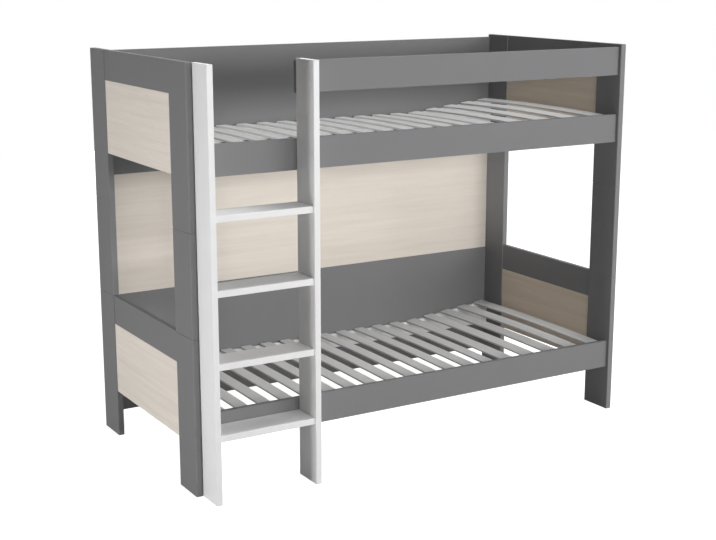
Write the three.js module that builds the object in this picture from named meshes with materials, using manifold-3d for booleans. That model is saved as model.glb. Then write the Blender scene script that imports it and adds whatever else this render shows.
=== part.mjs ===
// Two-berth bunk bed: two equal bed units stacked on spacer posts, with a back of three
// boards, a guard rail, an upright ladder and two slat bases with a raised head end.
//
// Millimetres, +Z up. Everything is laid out from the left front foot: X runs along the
// bed, Y from the front edge of the posts to the back, Z up from the floor. The whole group
// is then moved so that the origin is the middle of the footprint, on the floor.
import * as THREE from 'three';
import { mergeVertices } from 'three/addons/utils/BufferGeometryUtils.js';
import Module from 'manifold-3d';

const wasm = await Module();
wasm.setup();

// Overall sizes
const BED_LENGTH = 2070;
const BED_DEPTH = 965;
const UNIT_HEIGHT = 623;
const SPACER_HEIGHT = 404;

// End boards: two posts with a rail and a panel between them
const POST_THICKNESS = 26;
const POST_WIDTH = 155;
const END_RAIL_HEIGHT = 123;
const END_PANEL_HEIGHT = 300;
const END_PANEL_RECESS = 3;

// Side rails, guard rail and back
const RAIL_BOTTOM = 199;
const RAIL_HEIGHT = 121;
const RAIL_THICKNESS = 22;
const RAIL_RECESS = 15.5;
const GUARD_HEIGHT = 121;
const GUARD_THICKNESS = 18;
const GUARD_TOP_DROP = 12;
const BACK_THICKNESS = 12;
const BACK_BOTTOM = 63;
const BACK_BOARD_COUNT = 3;

// Ladder
const LADDER_REACH = 120;
const LADDER_POST_GAP = 2.5;
const LADDER_TOP_DROP = 2.5;
const UPRIGHT_THICKNESS = 24;
const RUNG_LENGTH = 404.5;
const RUNG_THICKNESS = 26;
const RUNG_COUNT = 4;
const FIRST_RUNG_TOP = 272;
const RUNG_PITCH = 278;
const RUNG_FRONT_SETBACK = 9;
const RUNG_REAR_SETBACK = 2;

// Bearers under the slat ends; the head pieces rise towards the right end
const BEARER_THICKNESS = 22;
const BEARER_BOTTOM = 195;
const BEARER_HEIGHT = 63;
const HEAD_RISE = 48.5;
const HEAD_SLAT_COUNT = 5;
const HEAD_JOINT_OFFSET = 9;

// Slats and the two tapes that hold them at their spacing
const SLAT_COUNT = 20;
const SLAT_WIDTH = 57;
const SLAT_THICKNESS = 8;
const SLAT_CROWN = 10;
const SLAT_CORNER_RADIUS = 12;
const SLAT_END_CLEARANCE = 3.5;
const SLAT_MARGIN = 20.5;
const TAPE_WIDTH = 14;
const TAPE_THICKNESS = 3;
const TAPE_SINK = 0.5;

// Pins and screws
const PIN_RADIUS = 4;
const POST_PIN_LENGTH = 60;
const RAIL_PIN_LENGTH = 48;
const RAIL_PIN_POST_DEPTH = 18;
const SCREW_RADIUS = 2.5;
const SCREW_HEAD_RADIUS = 5;
const SCREW_HEAD_HEIGHT = 3;
const SCREW_LENGTH = 60;
const SCREW_DROP = 25;

// Fits, edges and facet counts
const HOLE_CLEARANCE = 0.3;
const SEAT_GAP = 0.3;
const EDGE = 1;
const OVERRUN = 5;
const ROUND_SIDES = 16;
const CROWN_STEPS = 9;
const CORNER_STEPS = 3;

// Places worked out from the sizes
const UNIT_OFFSET = UNIT_HEIGHT + SPACER_HEIGHT;
const BED_HEIGHT = UNIT_OFFSET + UNIT_HEIGHT;
const INNER_LEFT = POST_THICKNESS;
const INNER_RIGHT = BED_LENGTH - POST_THICKNESS;
const REAR_POST_FRONT = BED_DEPTH - POST_WIDTH;
const RAIL_REAR = RAIL_RECESS + RAIL_THICKNESS;
const RAIL_TOP = RAIL_BOTTOM + RAIL_HEIGHT;
const BACK_FRONT = BED_DEPTH - BACK_THICKNESS;
const GUARD_TOP = BED_HEIGHT - GUARD_TOP_DROP;
const BACK_BOARD_HEIGHT = (GUARD_TOP - BACK_BOTTOM) / BACK_BOARD_COUNT;
const LEFT_UPRIGHT_X = INNER_LEFT + LADDER_POST_GAP;
const RUNG_X = LEFT_UPRIGHT_X + UPRIGHT_THICKNESS;
const RIGHT_UPRIGHT_X = RUNG_X + RUNG_LENGTH;
const LADDER_TOP = BED_HEIGHT - LADDER_TOP_DROP;
const BEARER_TOP = BEARER_BOTTOM + BEARER_HEIGHT;
const SLAT_LENGTH = BACK_FRONT - RAIL_REAR - 2 * SLAT_END_CLEARANCE;
const SLAT_BEARING = BEARER_THICKNESS - SLAT_END_CLEARANCE;
const SLAT_PITCH = (INNER_RIGHT - INNER_LEFT - 2 * SLAT_MARGIN - SLAT_WIDTH) / (SLAT_COUNT - 1);
const FIRST_SLAT_X = INNER_LEFT + SLAT_MARGIN + SLAT_WIDTH / 2;
const HEAD_JOINT_X = FIRST_SLAT_X + (SLAT_COUNT - HEAD_SLAT_COUNT) * SLAT_PITCH - HEAD_JOINT_OFFSET;
const HEAD_SLOPE = HEAD_RISE / (INNER_RIGHT - HEAD_JOINT_X);

const UNITS = [
  { name: 'lower', base: 0 },
  { name: 'upper', base: UNIT_OFFSET },
];
const ENDS = [
  { name: 'left', x: 0, inwards: 1 },
  { name: 'right', x: INNER_RIGHT, inwards: -1 },
];

function finish(color, roughness, metalness = 0) {
  return new THREE.MeshStandardMaterial({ color, roughness, metalness });
}

const MATERIALS = {
  dark: finish(0x7d7d7e, 0.5),
  wood: finish(0xddd3c4, 0.55),
  white: finish(0xf1f1f0, 0.4),
  slat: finish(0xd9d3c8, 0.6),
  tape: finish(0xdcdad5, 0.9),
  steel: finish(0xb4b7ba, 0.35, 1),
};

// Turns that put a shape's local Z along the named axis. Their terms are only 0 and 1, so
// faces that meet keep exactly the same coordinate.
const UNIT_X = new THREE.Vector3(1, 0, 0);
const UNIT_Y = new THREE.Vector3(0, 1, 0);
const UNIT_Z = new THREE.Vector3(0, 0, 1);
const TURNS = {
  x: new THREE.Matrix4().makeBasis(UNIT_Y, UNIT_Z, UNIT_X),
  y: new THREE.Matrix4().makeBasis(UNIT_Z, UNIT_X, UNIT_Y),
  z: new THREE.Matrix4(),
};

// Solids for joining and cutting
function toSolid(geometry) {
  const bare = geometry.clone();
  bare.deleteAttribute('normal');
  bare.deleteAttribute('uv');
  const merged = mergeVertices(bare);
  return new wasm.Manifold(new wasm.Mesh({
    numProp: 3,
    vertProperties: new Float32Array(merged.attributes.position.array),
    triVerts: new Uint32Array(merged.index.array),
  }));
}

function toGeometry(solid) {
  const mesh = solid.getMesh();
  const geometry = new THREE.BufferGeometry();
  geometry.setAttribute('position', new THREE.BufferAttribute(mesh.vertProperties, mesh.numProp));
  geometry.setIndex(new THREE.BufferAttribute(mesh.triVerts, 1));
  geometry.computeVertexNormals();
  return geometry;
}

function cut(geometry, cutters) {
  let solid = toSolid(geometry);
  for (const cutter of cutters) solid = solid.subtract(toSolid(cutter));
  return toGeometry(solid);
}

// A board between two corners, with its faces' edges eased; `through` is its thickness axis.
function boardGeometry(low, high, through) {
  const size = new THREE.Vector3().subVectors(high, low);
  const [across, along, thick] = {
    x: [size.y, size.z, size.x],
    y: [size.z, size.x, size.y],
    z: [size.x, size.y, size.z],
  }[through];
  const halfAcross = across / 2 - EDGE;
  const halfAlong = along / 2 - EDGE;
  const outline = new THREE.Shape();
  outline.moveTo(-halfAcross, -halfAlong);
  outline.lineTo(halfAcross, -halfAlong);
  outline.lineTo(halfAcross, halfAlong);
  outline.lineTo(-halfAcross, halfAlong);
  outline.closePath();
  const geometry = new THREE.ExtrudeGeometry(outline, {
    depth: thick - 2 * EDGE,
    bevelThickness: EDGE,
    bevelSize: EDGE,
    bevelSegments: 1,
  });
  geometry.translate(0, 0, EDGE - thick / 2);
  geometry.applyMatrix4(TURNS[through]);
  const middle = new THREE.Vector3().addVectors(low, high).multiplyScalar(1 / 2);
  return geometry.translate(middle.x, middle.y, middle.z);
}

// A round bar along an axis, from a start point; `side` is +1 or -1 for its direction.
function rodGeometry(radius, length, axis, start, side = 1) {
  const geometry = new THREE.CylinderGeometry(radius, radius, length, ROUND_SIDES);
  geometry.translate(0, length / 2, 0);
  if (side < 0) geometry.rotateX(Math.PI);
  if (axis === 'z') geometry.applyMatrix4(TURNS.x);
  if (axis === 'x') geometry.applyMatrix4(TURNS.y);
  return geometry.translate(start.x, start.y, start.z);
}

function vector(x, y, z) {
  return new THREE.Vector3(x, y, z);
}

function piece(name, geometry, material) {
  const mesh = new THREE.Mesh(geometry, material.clone());
  mesh.name = name;
  return mesh;
}

// Posts, one for each end, corner and storey, with their pin holes
const CORNERS = [
  { name: 'front', y: 0 },
  { name: 'rear', y: REAR_POST_FRONT },
];
const STOREYS = [
  { name: 'lower_end', base: 0, height: UNIT_HEIGHT, above: true, below: false },
  { name: 'spacer', base: UNIT_HEIGHT, height: SPACER_HEIGHT, above: true, below: true },
  { name: 'upper_end', base: UNIT_OFFSET, height: UNIT_HEIGHT, above: false, below: true },
];
const PIN_HOLE_RADIUS = PIN_RADIUS + HOLE_CLEARANCE;

// A blind hole that a rod along Z or X enters from a face; `side` points into the board.
function blindHole(radius, depth, axis, mouth, side) {
  const start = mouth.clone();
  start[axis] -= side * OVERRUN;
  return rodGeometry(radius, depth + OVERRUN, axis, start, side);
}

function postPinPlace(end, corner, z) {
  return vector(end.x + POST_THICKNESS / 2, corner.y + POST_WIDTH / 2, z);
}

function postGeometry(end, corner, storey) {
  const top = storey.base + storey.height;
  const geometry = boardGeometry(
    vector(end.x, corner.y, storey.base),
    vector(end.x + POST_THICKNESS, corner.y + POST_WIDTH, top),
    'x',
  );
  const holes = [];
  const depth = POST_PIN_LENGTH / 2;
  if (storey.above) holes.push(blindHole(PIN_HOLE_RADIUS, depth, 'z', postPinPlace(end, corner, top), -1));
  if (storey.below) holes.push(blindHole(PIN_HOLE_RADIUS, depth, 'z', postPinPlace(end, corner, storey.base), 1));
  for (const rail of frontBars(end)) {
    const inStorey = rail.z > storey.base && rail.z < top;
    if (corner.name !== 'front' || !inStorey) continue;
    holes.push(blindHole(PIN_HOLE_RADIUS, RAIL_PIN_POST_DEPTH, 'x', railMouth(end, rail), -end.inwards));
  }
  return cut(geometry, holes);
}

// The pins that hold the storeys in line stand half in each post
function buildPosts(group) {
  for (const end of ENDS) {
    for (const corner of CORNERS) {
      for (const storey of STOREYS) {
        const name = `${storey.name}_${end.name}_${corner.name}_post`;
        group.add(piece(name, postGeometry(end, corner, storey), MATERIALS.dark));
        if (!storey.above) continue;
        const start = postPinPlace(end, corner, storey.base + storey.height - POST_PIN_LENGTH / 2);
        const pin = rodGeometry(PIN_RADIUS, POST_PIN_LENGTH, 'z', start);
        group.add(piece(`${storey.name}_${end.name}_${corner.name}_post_pin`, pin, MATERIALS.steel));
      }
    }
  }
}

// Rail and light panel between the posts of each end, in each unit
function buildEndInfills(group) {
  for (const unit of UNITS) {
    for (const end of ENDS) {
      const outer = end.x + END_PANEL_RECESS;
      const inner = end.x + POST_THICKNESS - END_PANEL_RECESS;
      const top = unit.base + UNIT_HEIGHT;
      const seam = top - END_RAIL_HEIGHT;
      const foot = seam - END_PANEL_HEIGHT;
      const rail = boardGeometry(vector(outer, POST_WIDTH, seam), vector(inner, REAR_POST_FRONT, top), 'x');
      const panel = boardGeometry(vector(outer, POST_WIDTH, foot), vector(inner, REAR_POST_FRONT, seam), 'x');
      group.add(piece(`${unit.name}_end_${end.name}_rail`, rail, MATERIALS.dark));
      group.add(piece(`${unit.name}_end_${end.name}_panel`, panel, MATERIALS.wood));
    }
  }
}

// Front rails and the guard rail, as bars with their middle height and thickness
const SIDE_RAILS = UNITS.map((unit) => ({
  name: `${unit.name}_front_rail`,
  left: INNER_LEFT,
  z: unit.base + RAIL_BOTTOM + RAIL_HEIGHT / 2,
  height: RAIL_HEIGHT,
  thickness: RAIL_THICKNESS,
  ends: ENDS,
}));
const GUARD_RAIL = {
  name: 'guard_rail',
  left: RIGHT_UPRIGHT_X,
  z: GUARD_TOP - GUARD_HEIGHT / 2,
  height: GUARD_HEIGHT,
  thickness: GUARD_THICKNESS,
  ends: [ENDS[1]],
};

function frontBars(end) {
  return [...SIDE_RAILS, GUARD_RAIL].filter((bar) => bar.ends.includes(end));
}

// The middle of the pin hole's mouth, where a bar meets the post of one end
function railMouth(end, bar) {
  const x = end.inwards > 0 ? INNER_LEFT : INNER_RIGHT;
  return vector(x, RAIL_RECESS + bar.thickness / 2, bar.z);
}

function buildFrontBars(group) {
  for (const bar of [...SIDE_RAILS, GUARD_RAIL]) {
    const rear = RAIL_RECESS + bar.thickness;
    const low = vector(bar.left, RAIL_RECESS, bar.z - bar.height / 2);
    const high = vector(INNER_RIGHT, rear, bar.z + bar.height / 2);
    const holes = [];
    for (const end of bar.ends) {
      const mouth = railMouth(end, bar);
      holes.push(blindHole(PIN_HOLE_RADIUS, RAIL_PIN_LENGTH - RAIL_PIN_POST_DEPTH, 'x', mouth, end.inwards));
      mouth.x -= end.inwards * RAIL_PIN_POST_DEPTH;
      const pin = rodGeometry(PIN_RADIUS, RAIL_PIN_LENGTH, 'x', mouth, end.inwards);
      group.add(piece(`${bar.name}_${end.name}_pin`, pin, MATERIALS.steel));
    }
    for (const screw of ladderScrews().filter((one) => one.bar === bar)) holes.push(...screwRecess(screw));
    group.add(piece(bar.name, cut(boardGeometry(low, high, 'y'), holes), MATERIALS.dark));
  }
}

// Back boards, one above the other: dark, light, dark
function buildBack(group) {
  const names = ['lower', 'middle', 'upper'];
  for (let index = 0; index < BACK_BOARD_COUNT; index += 1) {
    const bottom = BACK_BOTTOM + index * BACK_BOARD_HEIGHT;
    const low = vector(INNER_LEFT, BACK_FRONT, bottom);
    const high = vector(INNER_RIGHT, BED_DEPTH, bottom + BACK_BOARD_HEIGHT);
    const name = names[index] ?? `extra_${index}`;
    const material = index % 2 ? MATERIALS.wood : MATERIALS.dark;
    group.add(piece(`${name}_back_board`, boardGeometry(low, high, 'y'), material));
  }
}

// Ladder uprights stand on the floor and reach back to the rails' front faces
const UPRIGHTS = [
  { name: 'left', x: LEFT_UPRIGHT_X },
  { name: 'right', x: RIGHT_UPRIGHT_X },
];

// Screws from behind: through the upper rail into both uprights, and through the guard rail
function ladderScrews() {
  const upperRail = SIDE_RAILS[1];
  const high = upperRail.z + upperRail.height / 2 - SCREW_DROP;
  const screws = UPRIGHTS.map((upright) => (
    { name: `ladder_${upright.name}_screw`, upright, bar: upperRail, z: high }
  ));
  screws.push({ name: 'guard_rail_screw', upright: UPRIGHTS[1], bar: GUARD_RAIL, z: GUARD_RAIL.z });
  return screws;
}

function screwFace(screw) {
  const x = screw.upright.x + UPRIGHT_THICKNESS / 2;
  return vector(x, RAIL_RECESS + screw.bar.thickness, screw.z);
}

// Counterbore and shank hole in the bar, both entered from its rear face
function screwRecess(screw) {
  const face = screwFace(screw);
  const shank = screw.bar.thickness + OVERRUN;
  return [
    blindHole(SCREW_HEAD_RADIUS + HOLE_CLEARANCE, SCREW_HEAD_HEIGHT, 'y', face, -1),
    blindHole(SCREW_RADIUS + HOLE_CLEARANCE, shank, 'y', face, -1),
  ];
}

// Head and shank as one turned shape, its seat face on the counterbore's floor
function screwGeometry(screw) {
  const profile = [
    new THREE.Vector2(0, 0),
    new THREE.Vector2(SCREW_RADIUS, 0),
    new THREE.Vector2(SCREW_RADIUS, SCREW_LENGTH - SCREW_HEAD_HEIGHT),
    new THREE.Vector2(SCREW_HEAD_RADIUS, SCREW_LENGTH - SCREW_HEAD_HEIGHT),
    new THREE.Vector2(SCREW_HEAD_RADIUS, SCREW_LENGTH),
    new THREE.Vector2(0, SCREW_LENGTH),
  ];
  const geometry = new THREE.LatheGeometry(profile, ROUND_SIDES);
  const face = screwFace(screw);
  return geometry.translate(face.x, face.y - SCREW_LENGTH, face.z);
}

function buildLadder(group) {
  for (const upright of UPRIGHTS) {
    const low = vector(upright.x, -LADDER_REACH, 0);
    const high = vector(upright.x + UPRIGHT_THICKNESS, RAIL_RECESS, LADDER_TOP);
    const holes = [];
    for (const screw of ladderScrews().filter((one) => one.upright === upright)) {
      const face = screwFace(screw);
      holes.push(blindHole(SCREW_RADIUS + HOLE_CLEARANCE, SCREW_LENGTH, 'y', face, -1));
    }
    group.add(piece(`ladder_${upright.name}_upright`, cut(boardGeometry(low, high, 'x'), holes), MATERIALS.white));
  }
  for (let index = 0; index < RUNG_COUNT; index += 1) {
    const top = FIRST_RUNG_TOP + index * RUNG_PITCH;
    const low = vector(RUNG_X, RUNG_FRONT_SETBACK - LADDER_REACH, top - RUNG_THICKNESS);
    const high = vector(RIGHT_UPRIGHT_X, RAIL_RECESS - RUNG_REAR_SETBACK, top);
    group.add(piece(`ladder_rung_${index + 1}`, boardGeometry(low, high, 'z'), MATERIALS.white));
  }
  for (const screw of ladderScrews()) group.add(piece(screw.name, screwGeometry(screw), MATERIALS.steel));
}

// Bearers along the rail and along the back: a level piece and a rising head piece
const BEARER_LINES = [
  { name: 'front', y: RAIL_REAR },
  { name: 'rear', y: BACK_FRONT - BEARER_THICKNESS },
];

// A shape drawn with X along the bed and Y for height, made solid over a width in Y
function crossBedGeometry(outline, y, z, width) {
  const geometry = new THREE.ExtrudeGeometry(outline, { depth: width, bevelEnabled: false });
  geometry.applyMatrix4(new THREE.Matrix4().makeBasis(UNIT_X, UNIT_Z, UNIT_Y.clone().negate()));
  return geometry.translate(0, y + width, z);
}

function headBearerOutline() {
  const outline = new THREE.Shape();
  outline.moveTo(HEAD_JOINT_X, BEARER_BOTTOM);
  outline.lineTo(INNER_RIGHT, BEARER_BOTTOM);
  outline.lineTo(INNER_RIGHT, BEARER_TOP + HEAD_RISE);
  outline.lineTo(HEAD_JOINT_X, BEARER_TOP);
  outline.closePath();
  return outline;
}

function buildBearers(group) {
  for (const unit of UNITS) {
    for (const line of BEARER_LINES) {
      const low = vector(INNER_LEFT, line.y, unit.base + BEARER_BOTTOM);
      const high = vector(HEAD_JOINT_X, line.y + BEARER_THICKNESS, unit.base + BEARER_TOP);
      const head = crossBedGeometry(headBearerOutline(), line.y, unit.base, BEARER_THICKNESS);
      group.add(piece(`${unit.name}_${line.name}_bearer`, boardGeometry(low, high, 'y'), MATERIALS.slat));
      group.add(piece(`${unit.name}_${line.name}_head_bearer`, head, MATERIALS.slat));
    }
  }
}

// Slat: flat where it rests on the bearers, crowned between them, with rounded corners
function slatSideOutline() {
  const half = SLAT_LENGTH / 2 - SLAT_BEARING;
  const radius = (half * half + SLAT_CROWN * SLAT_CROWN) / (2 * SLAT_CROWN);
  const sweep = Math.asin(half / radius);
  const right = Math.PI / 2 - sweep;
  const left = Math.PI / 2 + sweep;
  const centre = SLAT_CROWN - radius;
  const outline = new THREE.Shape();
  outline.moveTo(-SLAT_LENGTH / 2, SLAT_THICKNESS);
  outline.lineTo(-SLAT_LENGTH / 2, 0);
  outline.absarc(0, centre, radius, left, right, true);
  outline.lineTo(SLAT_LENGTH / 2, 0);
  outline.lineTo(SLAT_LENGTH / 2, SLAT_THICKNESS);
  outline.absarc(0, centre + SLAT_THICKNESS, radius, right, left, false);
  outline.closePath();
  return outline;
}

function slatPlanOutline() {
  const halfWidth = SLAT_WIDTH / 2;
  const halfLength = SLAT_LENGTH / 2;
  const x = halfWidth - SLAT_CORNER_RADIUS;
  const y = halfLength - SLAT_CORNER_RADIUS;
  const outline = new THREE.Shape();
  outline.moveTo(halfWidth, -y);
  outline.lineTo(halfWidth, y);
  outline.absarc(x, y, SLAT_CORNER_RADIUS, 0, Math.PI / 2, false);
  outline.absarc(-x, y, SLAT_CORNER_RADIUS, Math.PI / 2, Math.PI, false);
  outline.absarc(-x, -y, SLAT_CORNER_RADIUS, Math.PI, 3 * Math.PI / 2, false);
  outline.absarc(x, -y, SLAT_CORNER_RADIUS, 3 * Math.PI / 2, 2 * Math.PI, false);
  return outline;
}

function slatGeometry() {
  const side = new THREE.ExtrudeGeometry(slatSideOutline(), {
    depth: SLAT_WIDTH + 2 * OVERRUN,
    curveSegments: CROWN_STEPS,
    bevelEnabled: false,
  });
  side.translate(0, 0, -SLAT_WIDTH / 2 - OVERRUN);
  side.applyMatrix4(TURNS.x);
  const plan = new THREE.ExtrudeGeometry(slatPlanOutline(), {
    depth: SLAT_CROWN + SLAT_THICKNESS + 2 * OVERRUN,
    curveSegments: CORNER_STEPS,
    bevelEnabled: false,
  });
  plan.translate(0, 0, -OVERRUN);
  return toGeometry(toSolid(side).intersect(toSolid(plan)));
}

// The underside of the slats along the bed: level, then rising over the head bearers
const SLAT_UNDERSIDE = BEARER_TOP + TAPE_THICKNESS - TAPE_SINK;

function slatMatrix(index) {
  const x = FIRST_SLAT_X + index * SLAT_PITCH;
  const y = (RAIL_REAR + BACK_FRONT) / 2;
  const isHead = index >= SLAT_COUNT - HEAD_SLAT_COUNT;
  if (!isHead) return new THREE.Matrix4().makeTranslation(x, y, SLAT_UNDERSIDE);
  const rise = SEAT_GAP + HEAD_SLOPE * (x - HEAD_JOINT_X);
  const tilt = new THREE.Matrix4().makeRotationY(-Math.atan(HEAD_SLOPE));
  return tilt.setPosition(x, y, SLAT_UNDERSIDE + rise);
}

// The tape lies on the level bearers and follows the head bearers just clear of them
function tapeOutline() {
  const start = FIRST_SLAT_X - SLAT_WIDTH / 2;
  const end = FIRST_SLAT_X + (SLAT_COUNT - 1) * SLAT_PITCH + SLAT_WIDTH / 2 - SLAT_CORNER_RADIUS;
  const bend = HEAD_JOINT_X - SEAT_GAP / HEAD_SLOPE;
  const height = HEAD_SLOPE * (end - bend);
  const outline = new THREE.Shape();
  outline.moveTo(start, BEARER_TOP);
  outline.lineTo(bend, BEARER_TOP);
  outline.lineTo(end, BEARER_TOP + height);
  outline.lineTo(end, BEARER_TOP + TAPE_THICKNESS + height);
  outline.lineTo(bend, BEARER_TOP + TAPE_THICKNESS);
  outline.lineTo(start, BEARER_TOP + TAPE_THICKNESS);
  outline.closePath();
  return outline;
}

function slatBaseSolid() {
  const slat = slatGeometry();
  const inset = (BEARER_THICKNESS - TAPE_WIDTH) / 2;
  let solid = null;
  for (const line of BEARER_LINES) {
    const tape = toSolid(crossBedGeometry(tapeOutline(), line.y + inset, 0, TAPE_WIDTH));
    solid = solid ? solid.add(tape) : tape;
  }
  for (let index = 0; index < SLAT_COUNT; index += 1) {
    solid = solid.add(toSolid(slat.clone().applyMatrix4(slatMatrix(index))));
  }
  return solid;
}

function buildSlatBases(group) {
  const geometry = toGeometry(slatBaseSolid());
  for (const unit of UNITS) {
    const base = piece(`${unit.name}_slat_base`, geometry.clone(), MATERIALS.slat);
    base.position.z = unit.base;
    group.add(base);
  }
}

const bunkBed = new THREE.Group();
buildPosts(bunkBed);
buildEndInfills(bunkBed);
buildFrontBars(bunkBed);
buildBack(bunkBed);
buildLadder(bunkBed);
buildBearers(bunkBed);
buildSlatBases(bunkBed);
bunkBed.position.set(-BED_LENGTH / 2, (LADDER_REACH - BED_DEPTH) / 2, 0);

export default bunkBed;
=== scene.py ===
# %% [markdown]
# # A bunk bed of coated boards
#
# The bed has two equal units, one above the other on spacer posts. Its boards are
# chipboard with a hard coating: graphite grey posts, rails and back, pale wood infills,
# and a white ladder. Twenty slats lie across each berth.
#
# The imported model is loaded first. It holds every sub-part at its real place and size, in
# metres, so each piece modelled here takes its corners from it. Nothing is fitted by eye.

import math

import bmesh
import bpy
from mathutils import Matrix, Vector


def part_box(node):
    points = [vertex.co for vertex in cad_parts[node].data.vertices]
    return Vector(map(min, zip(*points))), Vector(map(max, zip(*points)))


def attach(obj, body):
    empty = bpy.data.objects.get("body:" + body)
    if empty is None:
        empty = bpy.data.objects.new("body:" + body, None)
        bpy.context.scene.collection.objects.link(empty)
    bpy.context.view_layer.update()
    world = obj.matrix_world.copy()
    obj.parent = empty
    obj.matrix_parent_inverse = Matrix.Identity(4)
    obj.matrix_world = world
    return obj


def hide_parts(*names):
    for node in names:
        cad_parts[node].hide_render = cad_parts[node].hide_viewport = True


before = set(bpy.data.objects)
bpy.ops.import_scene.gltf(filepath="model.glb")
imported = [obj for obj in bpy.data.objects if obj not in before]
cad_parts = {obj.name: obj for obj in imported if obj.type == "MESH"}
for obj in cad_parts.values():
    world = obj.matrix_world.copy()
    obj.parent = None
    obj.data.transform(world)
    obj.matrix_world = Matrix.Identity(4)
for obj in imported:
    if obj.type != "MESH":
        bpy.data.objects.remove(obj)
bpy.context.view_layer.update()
print("nodes loaded:", len(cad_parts))

# %% [markdown]
# ## Shader arithmetic
#
# A finish is a small sum of patterns: broad tone, fine grain, pores. Written with nodes
# and links that sum is hard to read. One class wraps a socket, so that plus, minus, times
# and divide between two patterns add the Math nodes by themselves.

# %% Sockets that take part in sums
class Pattern:
    """What varies over a surface, as the output socket of a shader node."""

    def __init__(self, tree, socket):
        self.tree = tree
        self.socket = socket

    def _sum(self, operation, first, second):
        return self.tree.node("ShaderNodeMath", {"operation": operation}, {0: first, 1: second})

    def __add__(self, other):
        return self._sum("ADD", self, other)

    def __radd__(self, other):
        return self._sum("ADD", other, self)

    def __sub__(self, other):
        return self._sum("SUBTRACT", self, other)

    def __rsub__(self, other):
        return self._sum("SUBTRACT", other, self)

    def __mul__(self, other):
        return self._sum("MULTIPLY", self, other)

    def __rmul__(self, other):
        return self._sum("MULTIPLY", other, self)

    def __truediv__(self, other):
        return self._sum("DIVIDE", self, other)

    def __rtruediv__(self, other):
        return self._sum("DIVIDE", other, self)


# %% [markdown]
# Every other node comes from one method. Its settings go in first, because some of them
# decide which sockets the node has. Then its sockets get their values or links. The same
# method serves the materials, the floor and the world.

# %% Nodes of a material or a world
class ShaderTree:
    """The nodes of a material or of the world, and the links between them."""

    def __init__(self, node_tree):
        self.nodes = node_tree.nodes
        self.links = node_tree.links

    def node(self, kind, settings=None, inputs=None, output=0):
        """Any node: its settings first, then the values or links of its sockets."""
        made = self.nodes.new(kind)
        for name, value in (settings or {}).items():
            if name == "stops":
                self._set_stops(made.color_ramp, value)
            else:
                setattr(made, name, value)
        for key, value in (inputs or {}).items():
            if isinstance(value, Pattern):
                self.links.new(value.socket, made.inputs[key])
            else:
                made.inputs[key].default_value = value
        return Pattern(self, made.outputs[output])

    def _set_stops(self, ramp, stops):
        """Gives a ramp its stops, each a place from 0 to 1 and a grey."""
        while len(ramp.elements) < len(stops):
            ramp.elements.new(1)
        for element, (place, grey) in zip(ramp.elements, stops):
            element.position = place
            element.color = (grey, grey, grey, 1)

    def show(self, shader):
        """Makes a shader the one that the material or the world gives out."""
        outlet = next(node for node in self.nodes if node.type.startswith("OUTPUT"))
        self.links.new(shader.socket, outlet.inputs["Surface"])


# %% A finish on the Principled shader
class Finish(ShaderTree):
    """A material on the Principled shader. Constants go straight onto its sockets."""

    def __init__(self, name, **constants):
        self.material = bpy.data.materials.new(name)
        self.material.use_nodes = True
        super().__init__(self.material.node_tree)
        self.shader = self.nodes["Principled BSDF"]
        for socket, value in constants.items():
            self.shader.inputs[socket.replace("_", " ")].default_value = value

    def feed(self, socket, pattern):
        """Links a pattern to one of the shader's sockets."""
        self.links.new(pattern.socket, self.shader.inputs[socket])

    def place(self, stretch=(1, 1, 1)):
        """The place on the piece in metres, stretched so that patterns get a direction."""
        here = self.node("ShaderNodeTexCoord", output="Object")
        sockets = {"Vector": here, "Scale": stretch}
        return self.node("ShaderNodeMapping", {"vector_type": "POINT"}, sockets)

    def noise(self, place, scale, detail=2, roughness=0.5):
        """Soft random tones from 0 to 1, with a mean of a half."""
        sockets = {"Vector": place, "Scale": scale, "Detail": detail, "Roughness": roughness}
        return self.node("ShaderNodeTexNoise", {"noise_dimensions": "3D"}, sockets)

    def streaks(self, axis, lengthwise, across, detail=2, roughness=0.5):
        """Noise drawn out along one axis, with so many spots a metre along and across it."""
        stretch = [lengthwise if place == axis else across for place in range(3)]
        return self.noise(self.place(stretch), 1, detail, roughness)

    def ramp(self, pattern, stops):
        """Turns a pattern's values into greys, from stop to stop."""
        return self.node("ShaderNodeValToRGB", {"stops": stops}, {"Fac": pattern})

    def blend(self, amount, first, second):
        """A colour between two others, which the Mix node takes at its sockets 6 and 7."""
        sockets = {0: amount, 6: first, 7: second}
        return self.node("ShaderNodeMix", {"data_type": "RGBA"}, sockets, output=2)

    def relief(self, height, distance):
        """Gives the surface small hills, as high as distance in metres."""
        sockets = {"Height": height, "Distance": distance, "Strength": 1}
        self.feed("Normal", self.node("ShaderNodeBump", {}, sockets))


# %% [markdown]
# Colours are written as a screen shows them, from 0 to 255. Shaders count in light, so the
# screen's curve is taken off first: a straight toe for the darks, and a power above it.

# %% Colours
CURVE_TOE_END = 0.04045
CURVE_TOE_SLOPE = 12.92
CURVE_OFFSET = 0.055
CURVE_POWER = 2.4


def color(red, green, blue):
    """A colour from screen values, 0 to 255, as the linear values that shaders use."""
    linear = []
    for screen in (red / 255, green / 255, blue / 255):
        toe = screen / CURVE_TOE_SLOPE
        curve = ((screen + CURVE_OFFSET) / (1 + CURVE_OFFSET)) ** CURVE_POWER
        linear.append(toe if screen <= CURVE_TOE_END else curve)
    return (*linear, 1)


print("a screen grey of 120 is a linear", round(color(120, 120, 120)[0], 3))
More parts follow.
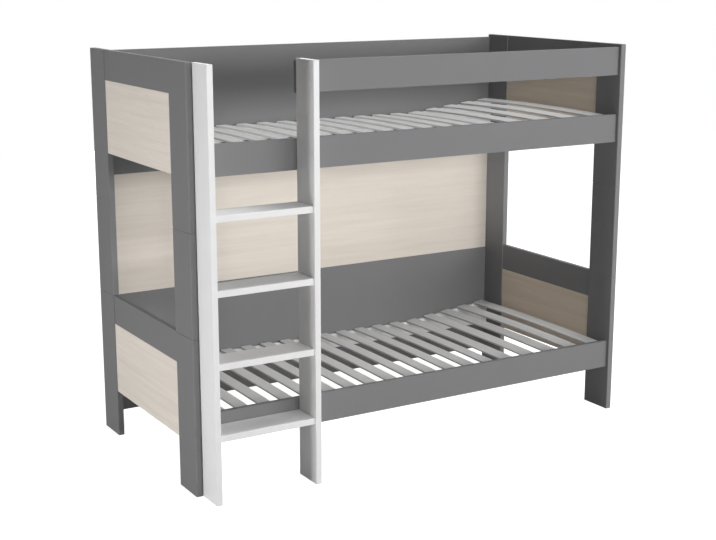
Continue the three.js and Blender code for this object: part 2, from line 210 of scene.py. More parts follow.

# %% [markdown]
# ## Graphite and white coating
#
# The grey and white boards are pressed with a resin paper. It has one plain colour and a
# fine pearl texture, like the skin of an orange seen from far away, which breaks up the
# gloss. It could be a flat colour with some roughness. Two scales of noise are better:
# one moves the tone by a hair across a board, and one makes the pearls.
#
# The narrow faces carry a thin plastic band. It is smoother than the coating, and a
# shade lighter on the grey boards. On the white boards it is a shade darker, which is
# painted shade: it dims the narrow faces that meet the front lamps, such as the fronts of
# the uprights and the rungs.

# %% Coated board finishes
PEARLS_PER_METRE = 900
CLOUDS_PER_METRE = 2.5
PEARL_ROUGHNESS = 0.12
GRAPHITE_GLOSS = 0.06
WHITE_GLOSS = 0.35


def coated_finish(name, dark, light, roughness, pearl_height, gloss):
    finish = Finish(name, Specular_IOR_Level=gloss)
    pearl = finish.noise(finish.place(), PEARLS_PER_METRE, detail=3)
    cloud = finish.noise(finish.place(), CLOUDS_PER_METRE, detail=4)
    finish.feed("Base Color", finish.blend(cloud * 0.5 + pearl * 0.5, dark, light))
    finish.feed("Roughness", roughness + (pearl - 0.5) * PEARL_ROUGHNESS)
    finish.relief(pearl, pearl_height)
    return finish.material


graphite = coated_finish(
    "graphite_coating",
    dark=color(119, 119, 120),
    light=color(124, 124, 125),
    roughness=0.6,
    pearl_height=6e-5,
    gloss=GRAPHITE_GLOSS,
)
graphite_band = coated_finish(
    "graphite_edge_band",
    dark=color(123, 123, 124),
    light=color(128, 128, 129),
    roughness=0.55,
    pearl_height=2e-5,
    gloss=GRAPHITE_GLOSS,
)
white = coated_finish(
    "white_coating",
    dark=color(231, 231, 231),
    light=color(236, 236, 236),
    roughness=0.42,
    pearl_height=5e-5,
    gloss=WHITE_GLOSS,
)
# Painted shade: this band white is darker than the coating, to dim the front-lit narrow faces.
white_band_painted_shade = coated_finish(
    "white_edge_band_painted_shade",
    dark=color(217, 217, 217),
    light=color(222, 222, 222),
    roughness=0.38,
    pearl_height=2e-5,
    gloss=WHITE_GLOSS,
)
print("coated finishes:", graphite.name, graphite_band.name, white.name, white_band_painted_shade.name)

# %% [markdown]
# ## Pale wood decor
#
# The infills carry a printed oak in a very pale shade. Its grain runs level, along the
# longer side of each board. A wave texture would give even stripes, which printed oak
# doesn't have. Noise that is stretched along the grain gives bands that swell and end:
# broad ones for the growth rings, thin ones for the fibres, and a few short dark pores.

# %% Pale wood finish
BAND_STREAKS = (1.3, 34)
FIBRE_STREAKS = (5, 260)
PORE_STREAKS = (28, 420)
DRIFT_STREAKS = (0.7, 3)
RING_STOPS = [(0.36, 0), (0.66, 1)]
PORE_STOPS = [(0.66, 0), (0.80, 1)]
WOOD_GLOSS = 0.3


def wood_finish(name, axis, shades, roughness, relief):
    """Wood whose grain runs along one axis, from a pale, a middle and a streak colour."""
    pale, middle, streak = shades
    finish = Finish(name, Specular_IOR_Level=WOOD_GLOSS)
    drift = finish.streaks(axis, *DRIFT_STREAKS, detail=2)
    bands = finish.streaks(axis, *BAND_STREAKS, detail=5, roughness=0.66)
    fibre = finish.streaks(axis, *FIBRE_STREAKS, detail=3)
    pores = finish.streaks(axis, *PORE_STREAKS, detail=1)
    rings = finish.ramp(bands * 0.82 + drift * 0.18, RING_STOPS)
    marks = finish.ramp(pores, PORE_STOPS)
    ground = finish.blend(rings * 0.8 + fibre * 0.2, pale, middle)
    grained = finish.blend(marks * 0.35 + (fibre - 0.5) * 0.3, ground, streak)
    finish.feed("Base Color", grained)
    finish.feed("Roughness", roughness + (fibre - 0.5) * 0.15 + marks * 0.1)
    finish.relief(fibre * 0.6 - marks, relief)
    return finish.material


# %% [markdown]
# The infills of the left end are a touch lighter than the back. That is painted light, in
# place of more light from the left lamp. The infills of the right end are a touch warmer
# and darker, which is painted shade, for the shade that falls inside the right end.

# %% Three near oak shades: plain, with painted light, with painted shade
LENGTHWISE, CROSSWISE, UPRIGHT = 0, 1, 2
OAK_SHADES = (color(218, 210, 200), color(206, 197, 186), color(188, 177, 162))
# Painted light: the left-end oak is lighter than the plain one. Painted shade: the right-end oak
# is warmer and darker.
LEFT_END_PAINTED_LIGHT_OAK = (color(231, 222, 212), color(215, 206, 195), color(194, 182, 167))
RIGHT_END_PAINTED_SHADE_OAK = (color(214, 201, 185), color(198, 184, 165), color(174, 158, 136))
DECOR_ROUGHNESS = 0.5
DECOR_RELIEF = 5e-5


def decor_finish(name, axis, shades):
    return wood_finish(name, axis, shades, DECOR_ROUGHNESS, DECOR_RELIEF)


oak_along_bed = decor_finish("pale_oak_along_the_bed", LENGTHWISE, OAK_SHADES)
left_end_oak_painted_light = decor_finish("pale_oak_left_end_painted_light", CROSSWISE, LEFT_END_PAINTED_LIGHT_OAK)
right_end_oak_painted_shade = decor_finish("pale_oak_right_end_painted_shade", CROSSWISE, RIGHT_END_PAINTED_SHADE_OAK)
print("wood decor finishes:", oak_along_bed.name, left_end_oak_painted_light.name, right_end_oak_painted_shade.name)

# %% [markdown]
# ## Slats and bearers
#
# A slat is glued from thin sheets of birch, bent in a press. From above it shows long
# fine fibres, and its sides show the sheets as thin lines. The lines follow the bend, so
# they can't read the height over the floor. Each slat carries its own height through the
# wood as an attribute named ply, from 0 underneath to 1 on top. One number for each slat,
# drawn from its place along the bed and its storey, makes some a shade warmer than others.

# %% Where the slats lie
SLAT_MARGIN = 20.5e-3
SLAT_WIDTH = 57e-3
SLAT_COUNT = 20

inner_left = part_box("lower_back_board")[0].x
inner_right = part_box("lower_back_board")[1].x
slat_pitch = (inner_right - inner_left - 2 * SLAT_MARGIN - SLAT_WIDTH) / (SLAT_COUNT - 1)
first_slat_x = inner_left + SLAT_MARGIN + SLAT_WIDTH / 2
print("slat pitch in mm:", round(slat_pitch * 1000, 2))

# %% Birch finish for slats
PLY_SHEETS = 6
BIRCH_SHADES = (color(224, 225, 226), color(218, 219, 220))
BIRCH_FIGURE = color(209, 210, 211)
GLUE_LINE = color(132, 124, 114)
GLUE_LINE_STRENGTH = 1.4
BIRCH_GLOSS = 0.35
BIRCH_ROUGHNESS = 0.46
BIRCH_RELIEF = 4e-5
DRAWS_PER_STOREY = 50


def slat_draw(finish):
    """One random number for each slat, from its number and its storey."""
    here = finish.place()
    along_bed = finish.node("ShaderNodeSeparateXYZ", {}, {0: here}, output=0)
    height = finish.node("ShaderNodeSeparateXYZ", {}, {0: here}, output=2)
    count = (along_bed - (first_slat_x - slat_pitch / 2)) / slat_pitch
    number = finish.node("ShaderNodeMath", {"operation": "FLOOR"}, {0: count})
    storey = finish.node("ShaderNodeMath", {"operation": "FLOOR"}, {0: height})
    seed = number + storey * DRAWS_PER_STOREY
    return finish.node("ShaderNodeTexWhiteNoise", {"noise_dimensions": "1D"}, {"W": seed})


def birch_finish(name):
    finish = Finish(name, Specular_IOR_Level=BIRCH_GLOSS)
    fibre = finish.streaks(CROSSWISE, 4, 330, detail=4, roughness=0.6)
    bands = finish.streaks(CROSSWISE, 1.1, 45, detail=3)
    ply = finish.node("ShaderNodeAttribute", {"attribute_name": "ply"}, output="Fac")
    sheets = finish.node(
        "ShaderNodeMath", {"operation": "PINGPONG"}, {0: ply * PLY_SHEETS + 0.5, 1: 0.5}
    )
    ground = finish.blend(slat_draw(finish), *BIRCH_SHADES)
    figure = finish.blend(bands * 0.4 + fibre * 0.6, ground, BIRCH_FIGURE)
    lines = (0.5 - sheets) * GLUE_LINE_STRENGTH
    finish.feed("Base Color", finish.blend(lines, figure, GLUE_LINE))
    finish.feed("Roughness", BIRCH_ROUGHNESS + (fibre - 0.5) * 0.2)
    finish.relief(fibre, BIRCH_RELIEF)
    return finish.material


birch = birch_finish("glued_birch")
print("slat finish:", birch.name)

# %% [markdown]
# The bearers are planed strips of a pale solid wood. The wood finish of the infills serves
# them as well, nearly white, rougher and with a deeper grain.

# %% Bearer finish
BEARER_SHADES = (color(244, 243, 240), color(240, 238, 234), color(226, 221, 213))

bearer_wood = wood_finish(
    "planed_bearer_wood", LENGTHWISE, BEARER_SHADES, roughness=0.55, relief=8e-5
)
print("bearer finish:", bearer_wood.name)

# %% [markdown]
# ## Tape and zinc
#
# The tape under the slat ends is woven from flat white threads. Single threads could be
# modelled, but there would be thousands of them, and very few show. Two crossed waves,
# one along the tape and one across it, give the plain weave: where one thread goes over,
# the other goes under.
#
# Pins and screws are zinc plated. The plating is a metal with soft clouds, brighter and
# smoother in one spot than in the next, so one noise moves its colour and its roughness.

# %% Woven tape finish
THREADS_PER_METRE = 700
TAPE_SHADES = (color(218, 217, 213), color(242, 241, 238))
THREAD_HEIGHT = 1.2e-4


def threads(finish, direction):
    """A wave for each pair of threads, from 0 between them to 1 on top."""
    settings = {"bands_direction": direction, "wave_profile": "SIN"}
    sockets = {"Vector": finish.place(), "Scale": THREADS_PER_METRE / 2}
    return finish.node("ShaderNodeTexWave", settings, sockets)


def tape_finish(name):
    finish = Finish(name, Roughness=0.85, Specular_IOR_Level=0.2)
    lengthwise, crosswise = threads(finish, "X"), threads(finish, "Y")
    weave = lengthwise * crosswise + (1 - lengthwise) * (1 - crosswise)
    finish.feed("Base Color", finish.blend(weave, *TAPE_SHADES))
    finish.relief(weave, THREAD_HEIGHT)
    return finish.material


woven_tape = tape_finish("woven_tape")
print("tape finish:", woven_tape.name)

# %% Zinc finish
CRYSTALS_PER_METRE = 420
ZINC_SHADES = (color(188, 190, 192), color(208, 209, 210))
CRYSTAL_HEIGHT = 1e-5


def zinc_finish(name):
    finish = Finish(name, Metallic=1)
    spangle = finish.noise(finish.place(), CRYSTALS_PER_METRE, detail=2)
    finish.feed("Base Color", finish.blend(spangle, *ZINC_SHADES))
    finish.feed("Roughness", 0.26 + spangle * 0.18)
    finish.relief(spangle, CRYSTAL_HEIGHT)
    return finish.material


zinc = zinc_finish("zinc_plating")
print("fastener finish:", zinc.name)

# %% [markdown]
# ## From a shape to a piece of the bed
#
# A shape could be drawn round the origin and its object moved to its place. The frame
# keeps each place in the mesh instead, and so does every piece here: the shape is drawn in
# a bmesh at its place in the bed, and the object stays at the origin. Then it rides on the
# bed's one body, and stands for the CAD node that it replaces.

# %% Make a piece
pieces = []


def add_piece(bm, name, finishes, slot, *nodes):
    mesh = bpy.data.meshes.new(name)
    bm.to_mesh(mesh)
    bm.free()
    for finish in finishes:
        mesh.materials.append(finish)
    piece = bpy.data.objects.new(name, mesh)
    bpy.context.scene.collection.objects.link(piece)
    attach(piece, "root")
    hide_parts(*nodes)
    pieces.append(piece)
    return piece


def open_edges(mesh):
    """Edges with other than two faces. A closed shape has none."""
    bm = bmesh.new()
    bm.from_mesh(mesh)
    count = sum(1 for edge in bm.edges if not edge.is_manifold)
    bm.free()
    return count


def report(piece):
    """Prints how many faces a piece has, and whether it is closed."""
    print(f"{piece.name}: {len(piece.data.polygons)} faces, {open_edges(piece.data)} open edges")


# %% [markdown]
# ## Boards
#
# A coated board is cut square, and a thin plastic band is glued round its edges. The
# band is rounded by about a millimetre, and that small round is what catches the light
# along every edge in the photograph. A cube scaled to the node's corners gives the board.
# A Bevel modifier could round it, but a bevel in the mesh leaves real faces, which can be
# sorted afterwards: the narrow faces and the rounds take the band's finish.

# %% Draw a board
BAND_RADIUS = 1.2e-3
POST_RADIUS = 2.5e-3
ROUND_STEPS = 3
FLAT = 0.9999


def block(low, high):
    bm = bmesh.new()
    bmesh.ops.create_cube(bm, size=1)
    bmesh.ops.scale(bm, vec=high - low, verts=bm.verts)
    bmesh.ops.translate(bm, vec=(low + high) / 2, verts=bm.verts)
    return bm


def ease(bm, edges, radius, steps=ROUND_STEPS):
    """Rounds edges off."""
    bmesh.ops.bevel(
        bm,
        geom=edges,
        offset=radius,
        offset_type="OFFSET",
        segments=steps,
        profile=0.5,
        affect="EDGES",
        material=-1,
        clamp_overlap=True,
    )


def finish_faces(bm, axis):
    """Broad faces keep the first finish; bands and rounds take the second."""
    for face in bm.faces:
        face.material_index = 0 if abs(face.normal[axis]) > FLAT else 1
        face.smooth = max(abs(value) for value in face.normal) < FLAT


def draw_board(node, axis, radius=BAND_RADIUS):
    bm = block(*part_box(node))
    ease(bm, bm.edges[:], radius)
    finish_faces(bm, axis)
    return bm


print("edge radii in mm:", BAND_RADIUS * 1000, "and on posts", POST_RADIUS * 1000)

# %% [markdown]
# ## Pin and screw holes
#
# Round pins hold the boards together, half in one board and half in the next. They don't
# show, but the holes are real, so that a board taken off the bed is a true board. The
# holes could be left out where nobody looks. Cutting them costs little: every pin that
# reaches into a board's box is found from the frame, and a Boolean cut takes its hole.

# %% Pins and screws of the frame
pins = [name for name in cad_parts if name.endswith("_pin")]
screws = [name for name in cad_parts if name.endswith("_screw")]
TOUCH = 1e-5


def reaches_into(node, board):
    (low, high), (board_low, board_high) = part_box(node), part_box(board)
    return all(
        low[i] < board_high[i] - TOUCH and high[i] > board_low[i] + TOUCH for i in range(3)
    )


def pin_line(node):
    """The two ends of a pin's centre line, and its radius."""
    low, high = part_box(node)
    size = high - low
    axis = max(range(3), key=lambda i: size[i])
    middle = (low + high) / 2
    start, end = middle.copy(), middle.copy()
    start[axis], end[axis] = low[axis], high[axis]
    return start, end, size[(axis + 1) % 3] / 2


print("pins:", len(pins), "screws:", len(screws))

# %% [markdown]
# A pin's hole is a little wider and longer than the pin. A screw's hole has two widths:
# one for the shank, and a wide one at the back of the rail, where the head sinks in.

# %% The shape of a hole
HOLE_CLEARANCE = 0.3e-3
HOLE_SPARE_DEPTH = 0.6e-3
HOLE_SIDES = 24
SCREW_HEAD_HEIGHT = 3e-3
SCREW_HEAD_RADIUS = 5e-3
SCREW_RADIUS = 2.5e-3
OVERRUN = 5e-3


def rod(bm, start, end, radius, sides=HOLE_SIDES):
    """A round bar from one point to another."""
    turn = (end - start).to_track_quat("Z", "Y").to_matrix().to_4x4()
    bmesh.ops.create_cone(
        bm,
        cap_ends=True,
        segments=sides,
        radius1=radius,
        radius2=radius,
        depth=(end - start).length,
        matrix=Matrix.Translation((start + end) / 2) @ turn,
    )


def add_pin_hole(bm, node):
    start, end, radius = pin_line(node)
    spare = (end - start).normalized() * HOLE_SPARE_DEPTH
    rod(bm, start - spare, end + spare, radius + HOLE_CLEARANCE)


def add_screw_hole(bm, node):
    tip, back, _ = pin_line(node)
    seat = Vector((back.x, back.y - SCREW_HEAD_HEIGHT, back.z))
    outside = Vector((back.x, back.y + OVERRUN, back.z))
    before_tip = Vector((tip.x, tip.y - HOLE_SPARE_DEPTH, tip.z))
    rod(bm, before_tip, back, SCREW_RADIUS + HOLE_CLEARANCE)
    rod(bm, seat, outside, SCREW_HEAD_RADIUS + HOLE_CLEARANCE)


# %% Drill a board
def cut_hole(piece, node):
    """Takes the hole of one pin or screw out of a board."""
    bm = bmesh.new()
    if node in pins:
        add_pin_hole(bm, node)
    else:
        add_screw_hole(bm, node)
    mesh = bpy.data.meshes.new("drill")
    bm.to_mesh(mesh)
    bm.free()
    cutter = bpy.data.objects.new("drill", mesh)
    bpy.context.scene.collection.objects.link(cutter)
    cut = piece.modifiers.new("holes", "BOOLEAN")
    cut.operation, cut.solver, cut.object = "DIFFERENCE", "EXACT", cutter
    cut.use_self = True
    state = bpy.context.evaluated_depsgraph_get()
    drilled = bpy.data.meshes.new_from_object(piece.evaluated_get(state))
    piece.modifiers.clear()
    piece.data = drilled
    bpy.data.objects.remove(cutter)
    bpy.data.meshes.remove(mesh)


def add_board(node, axis, finishes, slot, radius=BAND_RADIUS):
    """Draws a board, finishes it and cuts the holes of all that reaches into it."""
    piece = add_piece(draw_board(node, axis, radius), "finished_" + node, finishes, slot, node)
    fastened = [other for other in pins + screws if reaches_into(other, node)]
    for other in fastened:
        cut_hole(piece, other)
    print(f"{piece.name}: {len(fastened)} holes, {open_edges(piece.data)} open edges")


# %% [markdown]
# ## Posts, end boards, rails and back
#
# Every end of the bed has two posts in three lengths, one above the other, with a rail
# and a pale infill between them in each unit. Each board could have its own lines here,
# but the names of the nodes say what a board is, so a loop over the names builds them all.

# %% Posts and ends
GRAPHITE = [graphite, graphite_band]

for node in sorted(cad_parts):
    if node.endswith("_post"):
        add_board(node, LENGTHWISE, GRAPHITE, "dark_board", POST_RADIUS)
    elif node.endswith(("left_rail", "right_rail")):
        add_board(node, LENGTHWISE, GRAPHITE, "dark_board")
    # The left-end infills take the oak with painted light, the right-end ones the oak with
    # painted shade.
    elif node.endswith("left_panel"):
        add_board(node, LENGTHWISE, [left_end_oak_painted_light, left_end_oak_painted_light], "pale_wood")
    elif node.endswith("right_panel"):
        add_board(node, LENGTHWISE, [right_end_oak_painted_shade, right_end_oak_painted_shade], "pale_wood")

# %% Front rails, guard rail and back
FRONT_BOARDS = ("lower_front_rail", "upper_front_rail", "guard_rail")
DARK_BACK_BOARDS = ("lower_back_board", "upper_back_board")

for node in FRONT_BOARDS + DARK_BACK_BOARDS:
    add_board(node, CROSSWISE, GRAPHITE, "dark_board")
add_board("middle_back_board", CROSSWISE, [oak_along_bed, oak_along_bed], "pale_wood")

# %% [markdown]
# ## Ladder
#
# The two uprights stand on the floor and reach back to the rails. The four rungs are flat
# white boards between them. Their edges are rounded a little more, because bare feet
# stand on them.

# %% Ladder boards
RUNG_RADIUS = 2e-3
RUNG_COUNT = 4
# The band's darker white is painted shade on the fronts of the uprights and rungs.
WHITE = [white, white_band_painted_shade]

for side in ("left", "right"):
    add_board(f"ladder_{side}_upright", LENGTHWISE, WHITE, "white_board")
for number in range(1, RUNG_COUNT + 1):
    add_board(f"ladder_rung_{number}", UPRIGHT, WHITE, "white_board", RUNG_RADIUS)

# %% [markdown]
# ## Bearers
#
# Strips along the rail and the back carry the slat ends. At the head end a second strip
# goes on from the first and rises. It could be cut from a block by a slanting plane. It is
# simpler to start from the same block and let its two upper corners at the joint down to
# the height of the level strip.

# %% Level and rising bearers
BEARER_RADIUS = 1.5e-3
SMALL_FACE = 1e-4


def draw_head_bearer(node, level_node):
    low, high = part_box(node)
    rise = high.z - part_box(level_node)[1].z
    middle = (low + high) / 2
    bm = block(low, high)
    at_joint = [
        corner for corner in bm.verts if corner.co.x < middle.x and corner.co.z > middle.z
    ]
    bmesh.ops.translate(bm, vec=(0, 0, -rise), verts=at_joint)
    ease(bm, bm.edges[:], BEARER_RADIUS)
    for face in bm.faces:
        face.smooth = face.calc_area() < SMALL_FACE
    return bm


for unit in ("lower", "upper"):
    for line in ("front", "rear"):
        level, head = f"{unit}_{line}_bearer", f"{unit}_{line}_head_bearer"
        add_board(level, CROSSWISE, [bearer_wood, bearer_wood], "slat_wood", BEARER_RADIUS)
        shape = draw_head_bearer(head, level)
        report(add_piece(shape, "finished_" + head, [bearer_wood], "slat_wood", head))

# %% [markdown]
# ## Slats
#
# A slat is a springy strip with round corners and soft edges, flat where it rests and
# crowned a little between its rests. It could be bent with a modifier. Here it is drawn
# flat, cut into short stretches by bisecting planes, and then lifted along a circle,
# which keeps the crown exact. The same drawing is copied to all forty places.

# %% The crown of a slat
SLAT_THICKNESS = 8e-3
SLAT_CROWN = 7e-3
SLAT_REST = 18.5e-3

base_low, base_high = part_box("lower_slat_base")
slat_length = base_high.y - base_low.y
slat_middle_y = (base_low.y + base_high.y) / 2
crowned_half = slat_length / 2 - SLAT_REST
crown_radius = (crowned_half**2 + SLAT_CROWN**2) / (2 * SLAT_CROWN)
print("slat length and crown radius in m:", round(slat_length, 3), round(crown_radius, 2))


def crown_height(y):
    """How far the slat is lifted at a distance y from its middle."""
    if abs(y) >= crowned_half:
        return 0
    return math.sqrt(crown_radius**2 - y**2) - crown_radius + SLAT_CROWN


# %% Draw one slat
SLAT_CORNER_RADIUS = 12e-3
SLAT_CORNER_STEPS = 6
SLAT_EDGE_RADIUS = 2e-3
SLAT_STRETCHES = 28


def stands(edge):
    """Whether an edge of the flat slat is upright."""
    return abs(edge.verts[0].co.z - edge.verts[1].co.z) > SLAT_THICKNESS / 2


def draw_slat():
    corner = Vector((SLAT_WIDTH / 2, slat_length / 2, 0))
    bm = block(-corner, corner + Vector((0, 0, SLAT_THICKNESS)))
    ease(bm, [edge for edge in bm.edges if stands(edge)], SLAT_CORNER_RADIUS, SLAT_CORNER_STEPS)
    ease(bm, [edge for edge in bm.edges if not stands(edge)], SLAT_EDGE_RADIUS)
    for step in range(SLAT_STRETCHES + 1):
        y = crowned_half * (2 * step / SLAT_STRETCHES - 1)
        parts = bm.verts[:] + bm.edges[:] + bm.faces[:]
        bmesh.ops.bisect_plane(bm, geom=parts, plane_co=(0, y, 0), plane_no=(0, 1, 0))
    ply = bm.verts.layers.float.new("ply")
    for vertex in bm.verts:
        vertex[ply] = vertex.co.z / SLAT_THICKNESS
        vertex.co.z += crown_height(vertex.co.y)
    return bm


slat_drawing = draw_slat()
print("one slat:", len(slat_drawing.faces), "faces")

# %% [markdown]
# The slats lie level on the first bearers. The last five follow the rising ones, so each
# of them is turned by the slope and lifted by it, and stays a hair above the wood.

# %% Place the slats
HEAD_SLAT_COUNT = 5
HEAD_SEAT_GAP = 0.3e-3
TAPE_THICKNESS = 2.5e-3
SHARP_ANGLE = math.radians(12)


def head_slope(unit):
    """Where the head bearer starts, and how steep it is."""
    level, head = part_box(f"{unit}_rear_bearer")[1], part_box(f"{unit}_rear_head_bearer")[1]
    return level.x, (head.z - level.z) / (head.x - level.x)


def slat_place(unit, index):
    """The move that takes the drawn slat to its place in the bed."""
    x = first_slat_x + index * slat_pitch
    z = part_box(f"{unit}_rear_bearer")[1].z + TAPE_THICKNESS
    if index < SLAT_COUNT - HEAD_SLAT_COUNT:
        return Matrix.Translation((x, slat_middle_y, z))
    joint, slope = head_slope(unit)
    rise = HEAD_SEAT_GAP + slope * (x - joint)
    tilt = Matrix.Rotation(-math.atan(slope), 4, "Y")
    return Matrix.Translation((x, slat_middle_y, z + rise)) @ tilt


for unit in ("lower", "upper"):
    for index in range(SLAT_COUNT):
        bm = slat_drawing.copy()
        bmesh.ops.transform(bm, matrix=slat_place(unit, index), verts=bm.verts)
        name = f"{unit}_slat_{index + 1:02d}"
        piece = add_piece(bm, name, [birch], "slat_wood", f"{unit}_slat_base")
        piece.data.shade_smooth()
        piece.data.set_sharp_from_angle(angle=SHARP_ANGLE)
    print(f"{unit} slats: {SLAT_COUNT}, {open_edges(piece.data)} open edges each")

# %% [markdown]
# ## Tapes
#
# Each base rolls up, because two woven tapes hold its slats at their spacing. The tapes
# lie on the bearers, under the slat ends. A tape could be a curve with a flat section.
# With one bend it is quicker drawn as a flat strip to the joint, whose end face is
# extruded up the slope.

# %% Tapes under the slat ends
TAPE_WIDTH = 14e-3
TAPE_EDGE_RADIUS = 0.8e-3
TAPE_ROUND_STEPS = 2
SELVEDGE_ANGLE = math.radians(45)


def extrude(bm, faces):
    """Draws faces out into walls. Returns the corners of the new end, still in place."""
    grown = bmesh.ops.extrude_face_region(bm, geom=faces)["geom"]
    bmesh.ops.delete(bm, geom=faces, context="FACES_ONLY")
    return [part for part in grown if isinstance(part, bmesh.types.BMVert)]


def draw_tape(unit, line):
    joint, slope = head_slope(unit)
    bend = joint - HEAD_SEAT_GAP / slope
    low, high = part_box(f"{unit}_{line}_bearer")
    middle = (low.y + high.y) / 2
    start = first_slat_x - SLAT_WIDTH / 2
    last_slat_x = first_slat_x + (SLAT_COUNT - 1) * slat_pitch
    end = last_slat_x + SLAT_WIDTH / 2 - SLAT_CORNER_RADIUS
    bm = block(
        Vector((start, middle - TAPE_WIDTH / 2, high.z)),
        Vector((bend, middle + TAPE_WIDTH / 2, high.z + TAPE_THICKNESS)),
    )
    tip = extrude(bm, [face for face in bm.faces if face.normal.x > FLAT])
    bmesh.ops.translate(bm, vec=(end - bend, 0, slope * (end - bend)), verts=tip)
    selvedges = [edge for edge in bm.edges if edge.calc_face_angle(0) > SELVEDGE_ANGLE]
    ease(bm, selvedges, TAPE_EDGE_RADIUS, TAPE_ROUND_STEPS)
    return bm


for unit in ("lower", "upper"):
    for line in ("front", "rear"):
        name, base = f"{unit}_{line}_tape", f"{unit}_slat_base"
        report(add_piece(draw_tape(unit, line), name, [woven_tape], "slat_wood", base))

# %% [markdown]
# ## Pins and screws
#
# The pins are steel rods with a small chamfer, so that they find their holes. The screws
# sit in counterbores on the rear faces of the rails. Their heads are low, with a round
# rim. A profile could be spun for a screw. Here it grows from its head instead: the
# underside is inset to the shank's width, and drawn out twice, to the tip.

# %% Pins
PIN_CHAMFER = 0.8e-3


def draw_pin(node):
    start, end, radius = pin_line(node)
    bm = bmesh.new()
    rod(bm, start, end, radius)
    rims = [edge for face in bm.faces if len(face.verts) > 4 for edge in face.edges]
    ease(bm, rims, PIN_CHAMFER, 1)
    return bm


for node in pins:
    piece = add_piece(draw_pin(node), "finished_" + node, [zinc], "steel", node)
print("pins:", len(pins), "with", open_edges(piece.data), "open edges each")

# %% Screws
HEAD_SIDES = 36
HEAD_ROUND = 0.9e-3
TIP_LENGTH = 6e-3
TIP_WIDTH = 0.15


def height_of(face):
    return face.calc_center_median().z


def draw_screw(node):
    tip, back, _ = pin_line(node)
    length = (back - tip).length
    bm = bmesh.new()
    rod(bm, Vector((0, 0, 0)), Vector((0, 0, SCREW_HEAD_HEIGHT)), SCREW_HEAD_RADIUS, HEAD_SIDES)
    ease(bm, max(bm.faces, key=height_of).edges[:], HEAD_ROUND)
    seat = min(bm.faces, key=height_of)
    step = SCREW_HEAD_RADIUS - SCREW_RADIUS
    bmesh.ops.inset_region(bm, faces=[seat], thickness=step, depth=0)
    shank_end = extrude(bm, [seat])
    drop = SCREW_HEAD_HEIGHT - length + TIP_LENGTH
    bmesh.ops.translate(bm, vec=(0, 0, drop), verts=shank_end)
    point = extrude(bm, [min(bm.faces, key=height_of)])
    bmesh.ops.translate(bm, vec=(0, 0, -TIP_LENGTH), verts=point)
    bmesh.ops.scale(bm, vec=(TIP_WIDTH, TIP_WIDTH, 1), verts=point)
    turn = Matrix.Rotation(math.radians(-90), 4, "X")
    place = Matrix.Translation(back - Vector((0, SCREW_HEAD_HEIGHT, 0))) @ turn
    bmesh.ops.transform(bm, matrix=place, verts=bm.verts)
    return bm


for node in screws:
    report(add_piece(draw_screw(node), "finished_" + node, [zinc], "steel", node))

# %% [markdown]
# ## Floor and background
#
# The photograph stands on plain white. More light would make a floor white, but it would
# bleach the bed as well. So the floor's colour counts as its own light where the camera
# looks, a little under white, and the lamps add the rest. Only under the bed, where the
# lamps don't reach, a soft shadow stays. Metal mirrors the same white. The world behind
# the floor is made in the same way: white to look at, and nearly dark as a light.

# %% Where the background is looked at
def looked_at(tree):
    """1 for what the camera sees, straight on or in metal and glass, and 0 for light."""
    camera, glossy, clear = (
        tree.node("ShaderNodeLightPath", output=f"Is {kind} Ray")
        for kind in ("Camera", "Glossy", "Transmission")
    )
    settings = {"operation": "ADD", "use_clamp": True}
    return tree.node("ShaderNodeMath", settings, {0: camera + glossy, 1: clear})


def mix_shaders(tree, amount, first, second):
    return tree.node("ShaderNodeMixShader", {}, {0: amount, 1: first, 2: second})


# %% Floor
FLOOR_HALF = 9
FLOOR_GREY = 0.4
FLOOR_GLOW = 0.95
PURE_WHITE = (1, 1, 1, 1)


def floor_finish(name):
    grey = (FLOOR_GREY, FLOOR_GREY, FLOOR_GREY, 1)
    finish = Finish(name, Base_Color=grey, Roughness=1, Specular_IOR_Level=0)
    plain = Pattern(finish, finish.shader.outputs[0])
    glow = finish.node("ShaderNodeEmission", {}, {"Color": PURE_WHITE, "Strength": FLOOR_GLOW})
    glowing = finish.node("ShaderNodeAddShader", {}, {0: plain, 1: glow})
    finish.show(mix_shaders(finish, looked_at(finish), plain, glowing))
    return finish.material


def make_floor():
    bm = bmesh.new()
    bmesh.ops.create_grid(bm, x_segments=1, y_segments=1, size=FLOOR_HALF)
    mesh = bpy.data.meshes.new("floor")
    bm.to_mesh(mesh)
    bm.free()
    mesh.materials.append(floor_finish("floor_white"))
    floor = bpy.data.objects.new("floor", mesh)
    bpy.context.scene.collection.objects.link(floor)
    return floor


print("floor size in m:", [round(value, 1) for value in make_floor().dimensions])

# %% World
AMBIENT = 0.01
BACKDROP = 1


def make_world(name):
    world = bpy.data.worlds.new(name)
    world.use_nodes = True
    world.node_tree.nodes.remove(world.node_tree.nodes["Background"])
    bpy.context.scene.world = world
    tree = ShaderTree(world.node_tree)
    ambient, backdrop = (
        tree.node("ShaderNodeBackground", {}, {"Color": PURE_WHITE, "Strength": strength})
        for strength in (AMBIENT, BACKDROP)
    )
    tree.show(mix_shaders(tree, looked_at(tree), ambient, backdrop))


make_world("studio")
print("world strength:", BACKDROP, "to look at and", AMBIENT, "as a light")

# %% [markdown]
# ## Studio lamps
#
# The photograph tells where its light comes from. The guard rail throws one soft level
# band on the back board, a little below its own height. So the main light is wide and
# low, in front of the bed. Two lamps share it, because its left part is the stronger one:
# the front edge of the left post is bright, although the ladder would shade it from the
# right. Both stand eight metres from the back, near enough that the front rails get a
# little more of their light than the back does.
#
# The left end is lit as well, and the inside of the right end is dark, so another lamp
# stands at the left, level with the bed. The rung tops and the slats call for light from
# above: a small lamp for the clear shadows of the slats, and a wide weak one.
#
# The last three lamps stand where the photograph shows nothing. They are weak in its view
# and keep the right end and the back as readable as the front. A lamp could be placed by
# its coordinates. Its angles over the bed are easier to compare with the shadows.

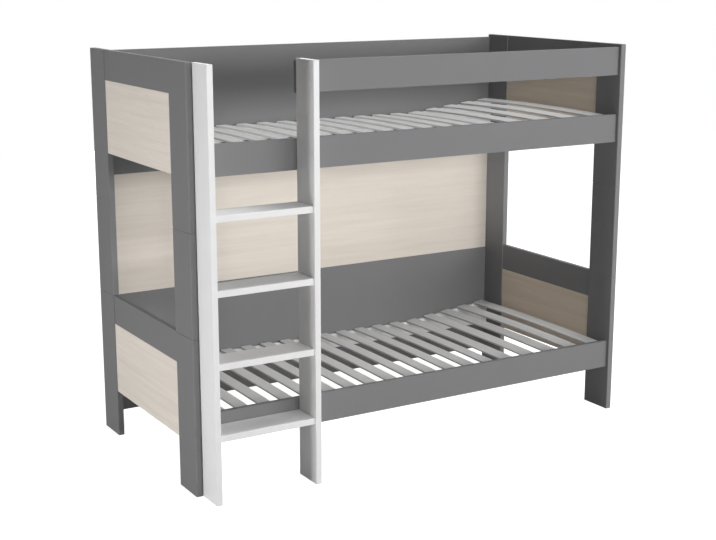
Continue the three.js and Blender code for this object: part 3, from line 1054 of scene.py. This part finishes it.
# %% A lamp that faces the bed
def add_lamp(name, target, distance, turn, rise, width, height, radiance):
    """A flat lamp that faces its target, seen from there at two angles in degrees.

    turn is 0 in front of the bed and grows to the right, rise is the angle above level,
    and width and height are the angles that the lamp fills, seen from its target.
    """
    light = bpy.data.lights.new(name, "AREA")
    light.shape = "RECTANGLE"
    light.size = 2 * distance * math.tan(math.radians(width) / 2)
    light.size_y = 2 * distance * math.tan(math.radians(height) / 2)
    light.energy = math.pi * light.size * light.size_y * radiance
    turned = Matrix.Rotation(math.radians(turn), 3, "Z")
    raised = Matrix.Rotation(-math.radians(rise), 3, "X")
    direction = turned @ raised @ Vector((0, 1, 0))
    lamp = bpy.data.objects.new(name, light)
    lamp.location = Vector(target) - direction * distance
    lamp.rotation_euler = direction.to_track_quat("-Z", "Y").to_euler()
    bpy.context.scene.collection.objects.link(lamp)
    print(f"{name}: {light.energy:.0f} W at {[round(value, 2) for value in lamp.location]}")


# %% Lamps in front and at the left
FRONT_HEIGHT = 10

add_lamp(
    "front_softbox", target=(-0.1, 0.53, 1.4), distance=8,
    turn=-2, rise=6.2, width=16, height=FRONT_HEIGHT, radiance=25.5,
)
add_lamp(
    "front_right_softbox", target=(0, 0.53, 1.4), distance=8,
    turn=23, rise=6.2, width=26, height=FRONT_HEIGHT, radiance=12.8,
)
add_lamp(
    "left_softbox", target=(-1.0, -0.69, 0.55), distance=4,
    turn=-90, rise=-1, width=11.5, height=7.2, radiance=84,
)

# %% Lamps above
BED_MIDDLE = (0, 0, 0.9)

add_lamp(
    "top_softbox", BED_MIDDLE, distance=8.5,
    turn=84, rise=76, width=16, height=16, radiance=19,
)
add_lamp(
    "ceiling_softbox", BED_MIDDLE, distance=8,
    turn=0, rise=80, width=60, height=60, radiance=0.45,
)

# %% Lamps for the right end and the back
add_lamp(
    "right_softbox", target=(0, -0.4, 0.9), distance=10,
    turn=55, rise=8, width=30, height=12, radiance=3,
)
add_lamp(
    "right_end_softbox", target=(1.0, 0, 0.8), distance=6,
    turn=92, rise=1, width=20, height=14, radiance=14,
)
add_lamp(
    "back_softbox", target=(0, 0.5, 0.8), distance=10,
    turn=160, rise=2, width=26, height=14, radiance=18,
)

# %% [markdown]
# ## Camera
#
# The camera could be moved by hand until the picture looks right. Its place here was
# worked out from about eighty edges and corners in the photograph. It stands left of the
# bed's middle, a little above its top, and looks down by thirteen degrees.

# %% Camera
CAMERA_PLACE = (-3.0019, -4.8943, 2.0010)
CAMERA_TURN = math.radians(30.984)
CAMERA_TILT = math.radians(12.879)
CAMERA_LENS = 68.0
SENSOR_WIDTH = 36

camera_data = bpy.data.cameras.new("camera")
camera_data.lens = CAMERA_LENS
camera_data.sensor_width = SENSOR_WIDTH
camera_data.sensor_fit = "HORIZONTAL"
camera = bpy.data.objects.new("camera", camera_data)
camera.location = CAMERA_PLACE
camera.rotation_euler = (math.radians(90) - CAMERA_TILT, 0, -CAMERA_TURN)
bpy.context.scene.collection.objects.link(camera)
bpy.context.scene.camera = camera
bpy.context.scene.view_settings.view_transform = "Standard"
print("camera to bed in m:", round((Vector(CAMERA_PLACE) - Vector(BED_MIDDLE)).length, 2))

# %% [markdown]
# ## Pieces made
#
# The last cell counts the pieces that were made.

# %% Count the pieces
print("pieces made:", len(pieces))
